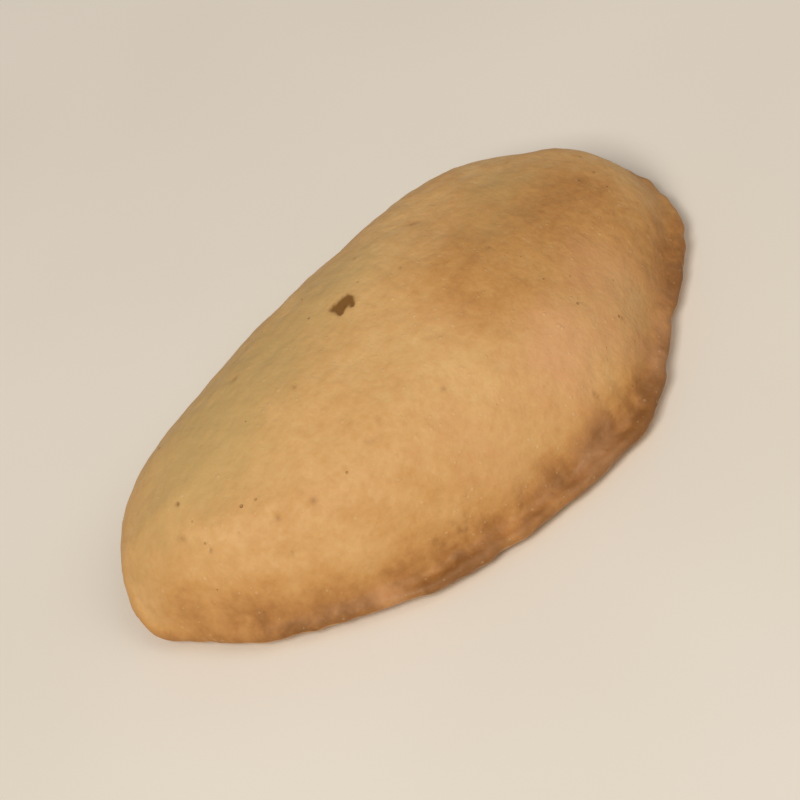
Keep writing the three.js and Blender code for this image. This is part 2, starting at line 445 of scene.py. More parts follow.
@dataclass(frozen=True)
class TableFinish:
    """A plain pale tabletop."""

    name: str = "pale_top"
    tone: Tone = Tone(234, 228, 218)
    shaded: Tone = Tone(230, 223, 212)
    roughness: float = 0.7

    def build(self) -> bpy.types.Material:
        """Makes the material.

        Returns:
            The material, which is faintly clouded.
        """
        material = bpy.data.materials.new(self.name)
        material.use_nodes = True
        graph = Graph(material.node_tree)
        shader = material.node_tree.nodes["Principled BSDF"]
        clouds = graph.step(graph.noise(graph.millimetres(), length=90.0), low=-0.2, high=0.2)
        colour = graph.mix(clouds, self.tone, self.shaded)
        material.node_tree.links.new(colour, shader.inputs["Base Color"])
        shader.inputs["Roughness"].default_value = self.roughness
        return material


@dataclass(frozen=True)
class Waves:
    """One size of unevenness in the crust.

    Attributes:
        length: Rough distance between bumps.
        height: How far they reach, either way.
        octaves: How many finer sizes ride on them.
        start: Where in the noise the pattern starts.
        finer: How many times finer each size is than the one before.
    """

    length: float
    height: float
    octaves: int
    start: float
    finer: float = 2.1

    def over(self, places: Array) -> Array:
        """The unevenness at each place.

        Args:
            places: Points, in millimetres.

        Returns:
            A height for each point, mostly within plus or minus the height.
        """
        start = Vector([self.start * part for part in NOISE_WAY])
        step = 1.0 / self.length
        values = [noise.fractal(Vector(p) * step + start, 1.0, self.finer, self.octaves) for p in places]
        return self.height * np.array(values)


class Skin:
    """A fine mesh as arrays, so that its points can be worked like dough."""

    def __init__(self, piece: bpy.types.Object) -> None:
        """Reads the mesh of a piece.

        Args:
            piece: The piece, which sits at the origin, unturned and unscaled.
        """
        self.piece = piece
        mesh = piece.data
        places = np.empty(len(mesh.vertices) * 3)
        mesh.vertices.foreach_get("co", places)
        self.places = places.reshape(-1, 3) * METRE
        edges = np.empty(len(mesh.edges) * 2, int)
        mesh.edges.foreach_get("vertices", edges)
        self.first, self.second = edges.reshape(-1, 2).T
        self.degree = np.bincount(edges, minlength=len(self.places)).astype(float)

    def normals(self) -> Array:
        """Reads the outward direction at each point.

        Returns:
            A direction of length 1 for each point.
        """
        values = np.empty(len(self.places) * 3)
        self.piece.data.vertex_normals.foreach_get("vector", values)
        return values.reshape(-1, 3)

    def around(self, values: Array) -> Array:
        """Averages a value over the neighbours of each point.

        Args:
            values: A value for each point.

        Returns:
            The average for each point.
        """
        sums = np.bincount(self.first, values[self.second], len(values))
        sums += np.bincount(self.second, values[self.first], len(values))
        return sums / self.degree

    def hollows(self, rounds: int) -> Array:
        """How far each point lies below its evened surroundings, in millimetres.

        Args:
            rounds: How often the surroundings are evened. More rounds find wider hollows.

        Returns:
            A depth for each point, below 0 on bumps.
        """
        evened = self.places.T.copy()
        for _ in range(rounds):
            evened = np.array([0.5 * part + 0.5 * self.around(part) for part in evened])
        return np.sum((evened.T - self.places) * self.normals(), 1)

    def relax(self, share: Array, rounds: int) -> None:
        """Evens the surface out.

        Args:
            share: How much each point gives way, from 0 to 1.
            rounds: How often it does.
        """
        for _ in range(rounds):
            around = np.array([self.around(part) for part in self.places.T]).T
            self.places += 0.5 * share[:, None] * (around - self.places)
        self.write()

    def push(self, amounts: Array) -> None:
        """Moves each point outwards along its normal.

        Args:
            amounts: A distance for each point, in millimetres, below 0 to push it in.
        """
        self.places += self.normals() * amounts[:, None]
        self.write()

    def write(self) -> None:
        """Puts the points back into the mesh."""
        self.piece.data.vertices.foreach_set("co", (self.places / METRE).ravel())
        self.piece.data.update()

    def store(self, name: str, values: Array) -> None:
        """Keeps one number for each point, which the finish reads by its name."""
        kept = self.piece.data.attributes.new(name, "FLOAT", "POINT")
        kept.data.foreach_set("value", np.asarray(values, np.float32))


@dataclass
class PlanOutline:
    """The biscuit's outline seen from above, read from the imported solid.

    Attributes:
        places: The solid's points.
        steps: How many points the outline is read with.
        fine: How many points it is measured with.
        spread: How many of those lie to either side where its outward direction is taken.
    """

    places: Array
    steps: int = 88
    fine: int = 2400
    spread: int = 20

    def __post_init__(self) -> None:
        """Finds the furthest point in each direction, and fills in a fine line between them."""
        x, y = self.places[:, 0], self.places[:, 1]
        turns = np.arctan2(y, x) / (2 * math.pi) + 0.5
        bins = np.minimum((turns * self.steps).astype(int), self.steps - 1)
        reach = np.hypot(x, y)
        best = [np.flatnonzero(bins == k)[np.argmax(reach[bins == k])] for k in range(self.steps)]
        at = np.linspace(0, 1, self.fine, endpoint=False)
        radius = np.interp(at, turns[best], reach[best], period=1)
        angle = (at - 0.5) * 2 * math.pi
        self.line = np.stack([radius * np.cos(angle), radius * np.sin(angle)], 1)
        ahead = np.roll(self.line, -self.spread, axis=0) - np.roll(self.line, self.spread, axis=0)
        self.outward = np.stack([ahead[:, 1], -ahead[:, 0]], 1) / np.hypot(*ahead.T)[:, None]
        self.along = self.measured_along()
        self.tree = kdtree.KDTree(self.fine)
        for k, (px, py) in enumerate(self.line):
            self.tree.insert((px, py, 0.0), k)
        self.tree.balance()

    def measured_along(self) -> Array:
        """Measures along the outline, from the middle of the sealed edge.

        Returns:
            A distance for each point of the line, below 0 towards -X.
        """
        steps = np.hypot(*np.diff(self.line, axis=0, append=self.line[:1]).T)
        around = steps.sum()
        from_middle = np.cumsum(steps) - np.cumsum(steps)[self.fine // 4]
        return (from_middle + around / 2) % around - around / 2

    def nearest(self, places: Array) -> tuple[Array, Array, Array, Array]:
        """Finds the outline beside each place.

        Args:
            places: Points, in millimetres.

        Returns:
            For each place, the distance in from the outline, how far along the outline that is from
            the middle of the sealed edge, how far across the biscuit the outline lies there, and the
            outward direction.
        """
        found = [self.tree.find((x, y, 0.0)) for x, y, _ in places]
        beside = [number for _, number, _ in found]
        inward = np.array([away for _, _, away in found])
        return inward, self.along[beside], self.line[beside, 1], self.outward[beside]


class Side(Enum):
    """The sides of the crust that pits and crumbs can lie on."""

    TOP = "top"
    BASE = "base"
    BASE_RIM = "base_rim"
    FOLD_FOOT = "fold_foot"


@dataclass(frozen=True)
class Mark:
    """A round patch on the crust.

    Attributes:
        x: Its place along the fold.
        y: Its place across.
        radius: How far it reaches.
        amount: How strong it is.
    """

    x: float
    y: float
    radius: float
    amount: float

    def away(self, places: Array) -> Array:
        """How far each place is from its middle, as seen from above."""
        return np.hypot(places[:, 0] - self.x, places[:, 1] - self.y)

    def over(self, places: Array) -> Array:
        """How much of the mark each place shows."""
        return self.amount * bell(self.away(places), self.radius)


def total(marks: tuple[Mark, ...], places: Array) -> Array:
    """How much each place shows of some marks together."""
    return sum(mark.over(places) for mark in marks)


@dataclass(frozen=True)
class Scatter:
    """A scatter of small pits or crumbs.

    Attributes:
        side: The side of the crust that they lie on.
        count: How many there are.
        smallest: Radius of the smallest.
        largest: Radius of the largest.
        rise: Height as a share of the radius, below 0 for pits.
        shade: How dark a pit is inside, or how pale a crumb is, from 0 to 1.
        seed: Start of the random draw.
        crowding: Distance between the places where they crowd.
        looseness: How many lie between those places too.
        favour: Above 1, there are more small ones than large ones.
        stretch: How much narrower than long one can be.
        reach: How many radii its slope reaches.
    """

    side: Side
    count: int
    smallest: float
    largest: float
    rise: float
    shade: float
    seed: int
    crowding: float = 14.0
    looseness: float = 0.25
    favour: float = 2.5
    stretch: float = 0.8
    reach: float = 2.5

    def radius(self, share: float) -> float:
        """The radius for a random share between 0 and 1."""
        return self.smallest + (self.largest - self.smallest) * share**self.favour


@dataclass(frozen=True)
class Press:
    """A dent that a fingertip left at the foot of the dome.

    Attributes:
        along: Its place along the outline, measured from the middle of the sealed edge.
        inward: Its place in from the outline.
        half_along: Its half length, along the outline.
        half_across: Its half width.
        depth: How deep it is.
        slant: How much further in it runs for each millimetre along.
    """

    along: float
    inward: float
    half_along: float
    half_across: float
    depth: float
    slant: float = 0.12

    def over(self, along: Array, inward: Array) -> Array:
        """How much of the dent each place shows.

        Args:
            along: Distance along the outline from the middle of the sealed edge.
            inward: Distance in from the outline.

        Returns:
            A share for each place, from 0 to 1.
        """
        lengthwise = (along - self.along) / self.half_along
        crosswise = (inward - self.inward - self.slant * (along - self.along)) / self.half_across
        return bell(np.hypot(lengthwise, crosswise), 1.0)


@dataclass(frozen=True)
class Flare:
    """A stretch of the outline that reaches a little further out.

    Attributes:
        along: Its middle, measured along the outline from the middle of the sealed edge.
        half: Its half length.
        out: How far it reaches out.
    """

    along: float
    half: float
    out: float

    def over(self, along: Array) -> Array:
        """How far each place on the outline moves out."""
        return self.out * bell(along - self.along, self.half)


@dataclass(frozen=True)
class Crease:
    """A crease where the fingers folded the crust in beside the sealed edge.

    Attributes:
        start: Where it starts, measured along the outline from the middle of the sealed edge.
        end: Where it ends.
        inward: How far in from the outline it runs.
        slant: How much further in it ends than it starts.
        depth: How deep it is.
        half: Its half width.
        fade: The share of its length that fades out at each end.
        wander: How far it wanders, in slow bends and in quick ones.
        bends: The length of each kind of bend, divided by two pi.
    """

    start: float
    end: float
    inward: float
    slant: float
    depth: float
    half: float
    fade: float = 0.3
    wander: tuple[float, float] = (0.35, 0.2)
    bends: tuple[float, float] = (1.7, 0.8)

    def over(self, along: Array, inward: Array) -> Array:
        """The depth at each place.

        Args:
            along: Distance along the outline from the middle of the sealed edge.
            inward: Distance in from the outline.

        Returns:
            A depth for each place.
        """
        share = (along - self.start) / (self.end - self.start)
        slow = self.wander[0] * np.sin(along / self.bends[0])
        quick = self.wander[1] * np.sin(along / self.bends[1] + 1)
        middle = self.inward + self.slant * share + (slow + quick)
        ends = ease(share, 0.0, self.fade) * ease(share, 1.0, 1.0 - self.fade)
        return self.depth * ends * bell(inward - middle, self.half)


@dataclass(frozen=True)
class Crack:
    """A fine broken crack that wanders over the top.

    Attributes:
        x: Where it starts, along the fold.
        y: Where it starts, across.
        heading: The way it starts off, in degrees from +X.
        length: How long it is.
        depth: How deep its openings are.
        seed: Start of the random draw.
        step: The distance between its openings.
        turning: How much it turns from one opening to the next, in radians.
        breaking: How much its depth changes from one to the next.
    """

    x: float
    y: float
    heading: float
    length: float
    depth: float
    seed: int
    step: float = 0.3
    turning: float = 0.28
    breaking: float = 0.32

    def openings(self) -> list[tuple[float, float, float]]:
        """Draws the openings that it is made of.

        Returns:
            For each opening, its place in plan and its depth.
        """
        draw = random.Random(self.seed)
        x, y, heading = self.x, self.y, math.radians(self.heading)
        opened = []
        strength = draw.random()
        for k in range(int(self.length / self.step)):
            heading += draw.gauss(0, self.turning)
            x += self.step * math.cos(heading)
            y += self.step * math.sin(heading)
            strength = min(1.0, max(0.0, strength + draw.gauss(0, self.breaking)))
            fade = math.sin(math.pi * (k + 1) * self.step / (self.length + self.step)) ** 0.5
            opened.append((x, y, self.depth * strength * fade))
        return opened


@dataclass(frozen=True)
class BakeAndShade:
    """How brown the crust is baked. A shade of 0 is raw, 0.4 tan, 0.6 golden and 1 dark.

    Each shade is added to the crust's own where its name says, over the span or band of that name.
    Those are measured in from the outline, unless their names say height or along. The patches lie
    where the baked biscuit shows them. Most are browning; a few on the lip are painted shade and
    painted highlights, and the dents, the trough and the lip get painted shade as well.
    """

    crust_shade: float = 0.34
    drift: Waves = Waves(20.0, 0.10, 2, 12.5)
    rim_shade: float = 0.18
    rim: Span = Span(5.5, 2.0)
    # Browning, with painted shade, along the row of finger dents.
    trough_brown_and_shade: float = 0.10
    trough: Band = Band(2.8, 1.6)
    smears: Waves = Waves(6.0, 1.2, 2, 21.0)
    smear_middle: float = 0.8
    smear_limits: tuple[float, float] = (0.1, 1.6)
    # Painted shade, darkening the finger dents as their shadow does.
    dent_painted_shade: float = 0.28
    # Browning, with painted shade, along the lip.
    lip_brown_and_shade: float = 0.14
    lip: Span = Span(3.4, 1.6)
    lip_along_from: Span = Span(-54, -45)
    lip_along_to: Span = Span(62, 46)
    low_shade: float = 0.12
    low_height: Span = Span(10.0, 3.0)
    fold_shade: float = 0.22
    fold_height: Span = Span(6.0, 0.5)
    fold_edge: Waves = Waves(9.0, 2.5, 3, 17.0)
    hollow_rounds: int = 7
    hollow_limit: float = 0.12
    patches: tuple[Mark, ...] = (
        Mark(10, -10, 8, 0.26),
        Mark(29, -8, 9, 0.24),
        Mark(34, 3, 9, 0.24),
        Mark(18, 0, 9, 0.14),
        Mark(-42, -6, 9, 0.11),
        Mark(-52, 11, 6, 0.15),
        Mark(-27, -19, 9, 0.15),
        Mark(41, -4, 6, 0.28),
        Mark(41, -17, 6, 0.12),
        Mark(21, -18, 6, 0.08),
        Mark(-26, -7, 8, 0.10),
        Mark(-46, -3, 6, 0.08),
        Mark(-47, 18, 7, 0.12),
        # Painted shade, with some browning: the stretch of lip towards +X, which lay in shadow.
        Mark(6.5, -33.5, 5.5, 0.26),
        Mark(18.5, -31.8, 5, 0.30),
        Mark(25, -28.5, 4, 0.20),
        Mark(36, -21, 5, 0.24),
        Mark(42, -17, 5, 0.05),
        Mark(-2.5, -29, 2.6, 0.12),
        Mark(-36.3, -14.8, 2.2, 0.06),
        Mark(-48.4, 1.8, 1.8, 0.05),
        Mark(-46.5, -1.8, 1.8, 0.10),
        Mark(-44.2, -5.4, 1.8, 0.12),
        Mark(-41.5, -4.5, 3.2, -0.08),
        Mark(-32, -14.5, 4, -0.12),
        Mark(-50, 6, 3, 0.06),
        Mark(-13, -23.5, 3, 0.08),
        Mark(-21, -20.5, 3, -0.10),
        Mark(-27, -21.8, 2.0, -0.12),
        # Painted highlights: two paler spots where lobes of the lip catch the light.
        Mark(-14.6, -26.5, 1.8, -0.24),
        Mark(-33.1, -16.7, 2.2, -0.12),
    )

    def over(self, crust: "Crust") -> Array:
        """Adds up the shades of a crust.

        Args:
            crust: The crust, once its shape is done.

        Returns:
            A shade for each point.
        """
        places = crust.skin.places
        shade = self.crust_shade + self.drift.over(places)
        shade += total(self.patches, places) * (1 - crust.under)
        shade += self.edge(crust) + self.low_parts(crust)
        hollow = crust.skin.hollows(self.hollow_rounds)
        return shade - np.clip(hollow, -self.hollow_limit, self.hollow_limit)

    def on_lip(self, crust: "Crust") -> Array:
        """How much each point is on the lip's baked stretch, from 0 to 1."""
        # The lip's browned stretch, which also gets its painted shade.
        stretch = self.lip_along_from.over(crust.along) * self.lip_along_to.over(crust.along)
        return self.lip.over(crust.inward) * stretch

    def edge(self, crust: "Crust") -> Array:
        """The shade of the sealed edge: its rim, its dents and the trough behind them.

        Args:
            crust: The crust, once its shape is done.

        Returns:
            A shade for each point.
        """
        smears = np.clip(self.smear_middle + self.smears.over(crust.skin.places), *self.smear_limits)
        shade = self.rim_shade * self.rim.over(crust.inward) * crust.sealed
        shade += self.trough_brown_and_shade * self.trough.over(crust.inward) * crust.pressed * smears
        shade += self.lip_brown_and_shade * self.on_lip(crust)
        return shade * (1 - crust.under) + self.dent_painted_shade * np.clip(crust.dents, 0, 1)

    def low_parts(self, crust: "Crust") -> Array:
        """The shade near the tray, which is deepest along the foot of the fold.

        Args:
            crust: The crust, once its shape is done.

        Returns:
            A shade for each point.
        """
        places = crust.skin.places
        height = places[:, 2]
        low = self.low_shade * self.low_height.over(height) * (1 - crust.under)
        fold = self.fold_height.over(height + self.fold_edge.over(places)) * (1 - crust.sealed)
        return low + self.fold_shade * fold


@dataclass(frozen=True)
class Underside:
    """Where the underside lay on the tray, and how brown the rim is that curls off it.

    Spans and bands are measured in from the outline, unless their names say height.
    """

    ragged: Waves = Waves(7.0, 1.6, 3, 4.4)
    base_sealed: Span = Span(7.5, 10.0)
    base_fold: Span = Span(1.5, 3.5)
    base_height: Span = Span(1.1, 0.35)
    blotches: Waves = Waves(9.0, 1.4, 3, 8.1)
    blotch_limits: tuple[float, float] = (-0.3, 1.0)
    blotch_shade: float = 0.22
    line: Band = Band(7.0, 1.2)
    line_shade: float = 0.12
    rim_shade: float = -0.06

    def base(self, crust: "Crust") -> Array:
        """Finds the flat base, with its ragged edge.

        Args:
            crust: The crust, once its shape is done.

        Returns:
            How much of the base each point shows, from 0 to 1.
        """
        places = crust.skin.places
        sealed = self.base_sealed.over(crust.inward + self.ragged.over(places)) * crust.sealed
        fold = self.base_fold.over(crust.inward) * (1 - crust.sealed)
        return self.base_height.over(places[:, 2]) * crust.under * (sealed + fold)

    def shade(self, crust: "Crust") -> Array:
        """The shade of the curled rim: blotches, and a browner line along the base.

        Args:
            crust: The crust, once its shape is done.

        Returns:
            A shade for each point, to be added to the baked one.
        """
        places = crust.skin.places
        blotches = np.clip(self.blotches.over(places), *self.blotch_limits)
        line = self.line.over(crust.inward + self.ragged.over(places))
        shade = self.blotch_shade * blotches + self.line_shade * line + self.rim_shade
        return shade * crust.under * crust.sealed


@dataclass
class Crust:
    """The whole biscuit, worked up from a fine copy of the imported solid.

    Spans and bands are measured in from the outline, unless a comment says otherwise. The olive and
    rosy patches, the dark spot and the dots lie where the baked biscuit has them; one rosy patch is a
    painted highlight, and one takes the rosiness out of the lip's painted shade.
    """

    name: str = "cookie_crust"
    cell: float = 0.43
    calming: int = 6

    # The sides: across, along the outline, by how far the surface faces down, and by height.
    sealed_across: Span = Span(17.5, 5.5)
    pressed_from: Span = Span(-46.0, -30.0)
    pressed_to: Span = Span(34.0, 4.0)
    under_facing: Span = Span(0.3, 0.8)
    under_height: Span = Span(5.0, 3.0)
    flat_facing: Span = Span(0.8, 0.97)
    flat_height: Span = Span(0.5, 0.15)

    # The lip, softened and flared.
    lip_near: Span = Span(9.0, 5.5)
    lip_rounds: int = 10
    joint_near: Span = Span(2.2, 0.8)
    joint_rounds: int = 8
    faint_rounds: int = 25
    flare_near: Span = Span(7.0, 0.5)
    flares: tuple[Flare, ...] = (
        Flare(-57, 6, 0.8),
        Flare(-18, 26, 0.5),
        Flare(11, 9, 1.1),
        Flare(52, 10, 0.9),
    )

    # The lip, pressed by the fingers.
    foot: Band = Band(3.4, 2.4)
    dent_rounds: int = 42
    dent_gain: float = 0.4
    dent_limits: tuple[float, float] = (-0.3, 0.8)
    unevenness: Waves = Waves(4.0, 0.6, 2, 6.3)
    uneven_limits: tuple[float, float] = (0.4, 1.6)
    crest: float = 0.06
    crest_band: Band = Band(0.8, 1.1)
    edge_near: Span = Span(4.0, 0.5)
    edge_waves: Waves = Waves(4.6, 0.36, 2, 5.9)
    worn_band: Band = Band(2.4, 1.8)
    worn_share: float = 0.6
    worn_rounds: int = 8
    presses: tuple[Press, ...] = (
        Press(-36.5, 2.3, 3.0, 1.4, 0.45),
        Press(-31.5, 2.2, 2.0, 1.1, 0.20),
        Press(-26.0, 2.5, 2.4, 1.5, 0.60),
        Press(-22.0, 2.4, 1.5, 1.2, 0.45),
        Press(-16.7, 2.6, 2.2, 1.7, 0.75),
        Press(-10.4, 2.6, 2.4, 1.6, 0.65),
        Press(-5.1, 3.3, 2.0, 1.6, 0.65),
        Press(-1.9, 2.7, 1.5, 1.3, 0.50),
        Press(6.2, 2.4, 2.6, 1.5, 0.85),
        Press(9.3, 3.3, 1.6, 1.3, 0.45),
        Press(14.0, 1.9, 1.8, 1.2, 0.45),
        Press(14.6, 3.8, 1.8, 1.2, 0.30),
        Press(18.0, 2.0, 2.0, 1.2, 0.50),
        Press(29, 1.2, 2.4, 1.1, 0.30),
        Press(41.5, 1.3, 2.0, 1.0, 0.25),
    )
    creases: tuple[Crease, ...] = (
        Crease(-30, -20, 3.0, 0.6, 0.08, 0.9),
        Crease(-14, -4, 3.0, 0.5, 0.08, 0.9),
        Crease(0, 9, 2.6, 0.5, 0.08, 0.9),
    )

    # The dome.
    dome_near: Span = Span(0.5, 5.0)
    swells: Waves = Waves(21.0, 0.30, 2, 3.1)
    lumps: Waves = Waves(7.5, 0.26, 2, 7.7)
    small_lumps: Waves = Waves(2.6, 0.09, 3, 1.3)

    # Cracks, pits and crumbs.
    top_facing: float = 0.1
    crack_reach: float = 1.0
    crack_half: float = 0.4
    crack_shade: float = 2.2
    base_border: tuple[float, float] = (6.4, 9.6)
    fold_border: float = 3.0
    fold_foot_height: tuple[float, float] = (0.4, 1.6)
    cracks: tuple[Crack, ...] = (
        Crack(-21, -8, 10, 7, 0.15, 3),
        Crack(9.5, -26.5, -75, 4.5, 0.3, 233),
        Crack(-20, -20.5, -125, 4, 0.25, 377),
        Crack(32, -21.5, -50, 3.5, 0.25, 610),
        Crack(-45, 13, -60, 4, 0.2, 34),
        Crack(15, 15, -5, 7, 0.25, 55),
        Crack(-15, 24, 12, 8, 0.3, 89),
        Crack(38, 9, 100, 5, 0.25, 144),
    )
    scatters: tuple[Scatter, ...] = (
        Scatter(Side.TOP, 22, 0.3, 0.65, -0.5, 0.55, 11),
        Scatter(Side.BASE, 80, 0.3, 0.65, -0.45, 0.7, 23),
        Scatter(Side.BASE_RIM, 70, 0.3, 0.8, 0.01, 0.7, 47),
        Scatter(Side.FOLD_FOOT, 16, 0.4, 0.8, 0.6, 0.3, 31),
    )

    # The dark spot and the dots, by how scorched a place is.
    spot_rim: Band = Band(0.3, 0.15)
    spot_rise: float = 0.08
    spot_burnt: Span = Span(0.3, 0.9)
    spot_depth: float = 0.3
    dark_spot: tuple[Mark, ...] = (
        Mark(-2.0, 11.3, 0.8, 0.8),
        Mark(-1.1, 10.9, 0.9, 0.8),
        Mark(0.0, 10.6, 0.9, 0.8),
        Mark(0.8, 10.3, 0.9, 0.9),
        Mark(0.8, 9.4, 0.75, 0.9),
        Mark(0.15, 8.6, 0.6, 0.9),
        Mark(-0.3, 8.3, 0.5, 0.7),
        Mark(-0.6, 9.9, 0.9, 0.7),
        Mark(-1.5, 9.9, 0.85, 0.8),
        Mark(-2.2, 9.4, 0.7, 0.9),
    )
    dark_dots: tuple[Mark, ...] = (
        Mark(-40.7, 14.5, 0.5, 1.0),
        Mark(-44.0, 6.1, 0.4, 0.8),
        Mark(-37.9, -5.0, 0.4, 0.6),
        Mark(-40.1, 2.6, 0.4, 0.5),
    )

    # The blister, and its edge by the distance from its middle.
    blister: Mark = Mark(31, -6, 1.6, 0.6)
    blister_shade: float = 0.9
    blister_edge: Band = Band(2.3, 0.7)
    blister_breaks: Waves = Waves(1.6, 1.5, 2, 6.6)
    blister_crumbs: float = 0.8

    # The baked colours, with painted shade and painted highlights on the lip.
    bake_and_shade: BakeAndShade = BakeAndShade()
    underside: Underside = Underside()
    rosy_lip: float = 0.15
    olive_patches: tuple[Mark, ...] = (
        Mark(-32, 17, 13, 0.8),
        Mark(-11, 17, 14, 0.65),
        Mark(7, 15, 9, 0.5),
        Mark(23, -1, 8, 0.3),
        Mark(34, 6, 8, 0.5),
        Mark(-47, 18, 7, 0.3),
    )
    rosy_patches: tuple[Mark, ...] = (
        Mark(14, -26, 11, 0.6),
        Mark(29, -17, 8, 0.5),
        Mark(-8, -21, 9, 0.4),
        # A painted highlight on a lobe of the lip, which is rosier there.
        Mark(-33.0, -16.8, 2.6, 0.4),
        Mark(-40, -10, 5, -0.3),
        # Less rosy where the lip towards +X has its painted shade.
        Mark(14, -31.5, 6, -0.6),
        Mark(3, -6, 8, 0.3),
        Mark(10, -23, 7, 0.3),
    )

    def build(self, node: bpy.types.Object) -> bpy.types.Object:
        """Makes the biscuit's mesh.

        Args:
            node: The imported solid. It is copied and left as it is.

        Returns:
            The finished piece, with the masks that its finish reads.
        """
        self.piece = self.fine_copy(node)
        self.skin = Skin(self.piece)
        self.find_sides(PlanOutline(Skin(node).places))
        self.soften_lip()
        self.press_lip()
        self.swell()
        self.crack()
        for scatter in self.scatters:
            self.strew(scatter)
        self.mark_spots()
        self.blister_base()
        self.settle()
        self.keep_masks()
        return self.piece

    def fine_copy(self, node: bpy.types.Object) -> bpy.types.Object:
        """Copies the solid, rounds its facets off and gives it small even faces.

        Args:
            node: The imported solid.

        Returns:
            The fine copy.
        """
        piece = bpy.data.objects.new(self.name, node.data.copy())
        piece.data.name = self.name
        bpy.context.collection.objects.link(piece)
        bpy.ops.object.select_all(action="DESELECT")
        piece.select_set(True)
        bpy.context.view_layer.objects.active = piece
        bpy.ops.object.mode_set(mode="EDIT")
        bpy.ops.mesh.select_all(action="SELECT")
        bpy.ops.mesh.remove_doubles(threshold=1e-6)
        bpy.ops.object.mode_set(mode="OBJECT")
        rounding = piece.modifiers.new("rounding", "SUBSURF")
        rounding.levels = rounding.render_levels = 2
        even = piece.modifiers.new("even_faces", "REMESH")
        even.mode = "VOXEL"
        even.voxel_size = self.cell / METRE
        calm = piece.modifiers.new("calm", "SMOOTH")
        calm.factor = 0.5
        calm.iterations = self.calming
        for modifier in (rounding, even, calm):
            bpy.ops.object.modifier_apply(modifier=modifier.name)
        bpy.ops.object.shade_smooth()
        return piece

    def find_sides(self, outline: PlanOutline) -> None:
        """Works out where each point is: how near the rim, and on which side.

        Args:
            outline: The biscuit's outline seen from above.
        """
        places = self.skin.places
        self.inward, self.along, across, self.outward = outline.nearest(places)
        down, height = -self.skin.normals()[:, 2], places[:, 2]
        self.sealed = self.sealed_across.over(across)
        self.pressed = self.pressed_from.over(self.along) * self.pressed_to.over(self.along)
        self.under = self.under_facing.over(down) * self.under_height.over(height)
        self.flat = self.flat_facing.over(down) * self.flat_height.over(height)
        self.dents = np.zeros(len(places))
        self.pores = np.zeros(len(places))
        self.crumbs = np.zeros(len(places))
        self.scorch = np.zeros(len(places))

    def soften_lip(self) -> None:
        """Rounds the lip, its foot and the joint between its two layers, and lets the lip flare."""
        near = self.lip_near.over(self.inward) * self.sealed * (1 - self.flat)
        self.skin.relax(near, self.lip_rounds)
        joint = self.joint_near.over(self.inward) * self.sealed * (1 - self.flat)
        self.skin.relax(joint, self.joint_rounds)
        self.skin.relax(near * (1 - self.pressed), self.faint_rounds)
        out = sum(flare.over(self.along) for flare in self.flares) * self.flare_near.over(self.inward)
        self.skin.places[:, :2] += self.outward * out[:, None]
        self.skin.write()

    def press_lip(self) -> None:
        """Deepens the dents of the fingers, adds creases beside them, and makes the edge wavy."""
        skin = self.skin
        upper = self.sealed * (1 - self.under) * self.pressed
        foot = self.foot.over(self.inward) * upper
        uneven = np.clip(1.0 + self.unevenness.over(skin.places), *self.uneven_limits)
        push = -self.dent_gain * np.clip(skin.hollows(self.dent_rounds), *self.dent_limits) * foot
        for press in self.presses:
            dent = press.depth * (press.over(self.along, self.inward) * uneven * (1 - self.under))
            push -= dent
            # The dents' depths are kept for the painted shade in them.
            self.dents = np.maximum(self.dents, dent)
        for crease in self.creases:
            push -= crease.over(self.along, self.inward) * upper
        push += self.crest * self.crest_band.over(self.inward) * upper
        edge = self.edge_near.over(self.inward) * self.sealed * (1 - self.flat)
        push += self.edge_waves.over(skin.places) * edge
        skin.push(push)
        skin.relax(self.worn_share * self.worn_band.over(self.inward) * upper, self.worn_rounds)

    def swell(self) -> None:
        """Gives the dome its slow swells, its lumps and its sandy unevenness."""
        places = self.skin.places
        open_crust = (1 - self.under) * self.dome_near.over(self.inward)
        push = self.swells.over(places) * open_crust
        push += self.lumps.over(places) * open_crust
        push += self.small_lumps.over(places) * (1 - self.flat)
        self.skin.push(push)

    def tree_over(self, shown: Array, plan: bool = False) -> kdtree.KDTree:
        """Gathers the points of one side for finding neighbours.

        Args:
            shown: Which points take part.
            plan: Whether distances are measured as seen from above.

        Returns:
            A search tree with the points' own numbers.
        """
        chosen = np.flatnonzero(shown)
        tree = kdtree.KDTree(len(chosen))
        for k in chosen:
            x, y, z = self.skin.places[k]
            tree.insert((x, y, 0.0 if plan else z), int(k))
        tree.balance()
        return tree

    def crack(self) -> None:
        """Opens the fine cracks in the top."""
        skin = self.skin
        top = skin.normals()[:, 2] > self.top_facing
        plan, tree = self.tree_over(top, plan=True), self.tree_over(top)
        push = np.zeros(len(skin.places))
        for crack in self.cracks:
            for x, y, depth in crack.openings():
                middle = skin.places[plan.find((x, y, 0.0))[1]]
                for _, k, away in tree.find_range(middle, self.crack_reach):
                    opened = float(bell(away, self.crack_half))
                    push[k] = min(push[k], -depth * opened)
                    self.pores[k] = max(self.pores[k], self.crack_shade * depth * opened)
        skin.push(push)

    def on_side(self, side: Side) -> Array:
        """Finds the points on one side of the crust.

        Args:
            side: The side.

        Returns:
            For each point, whether it lies there.
        """
        if side is Side.TOP:
            return self.under < HARDLY
        if side is Side.BASE:
            return self.flat > FULLY
        if side is Side.FOLD_FOOT:
            low, high = self.fold_foot_height
            height = self.skin.places[:, 2]
            return (self.sealed < HARDLY) & (height < high) & (height > low)
        start, end = self.base_border
        beside_seal = (self.inward > start) & (self.inward < end)
        beside_fold = self.inward < self.fold_border
        return (self.flat > HALF) & np.where(self.sealed > HALF, beside_seal, beside_fold)

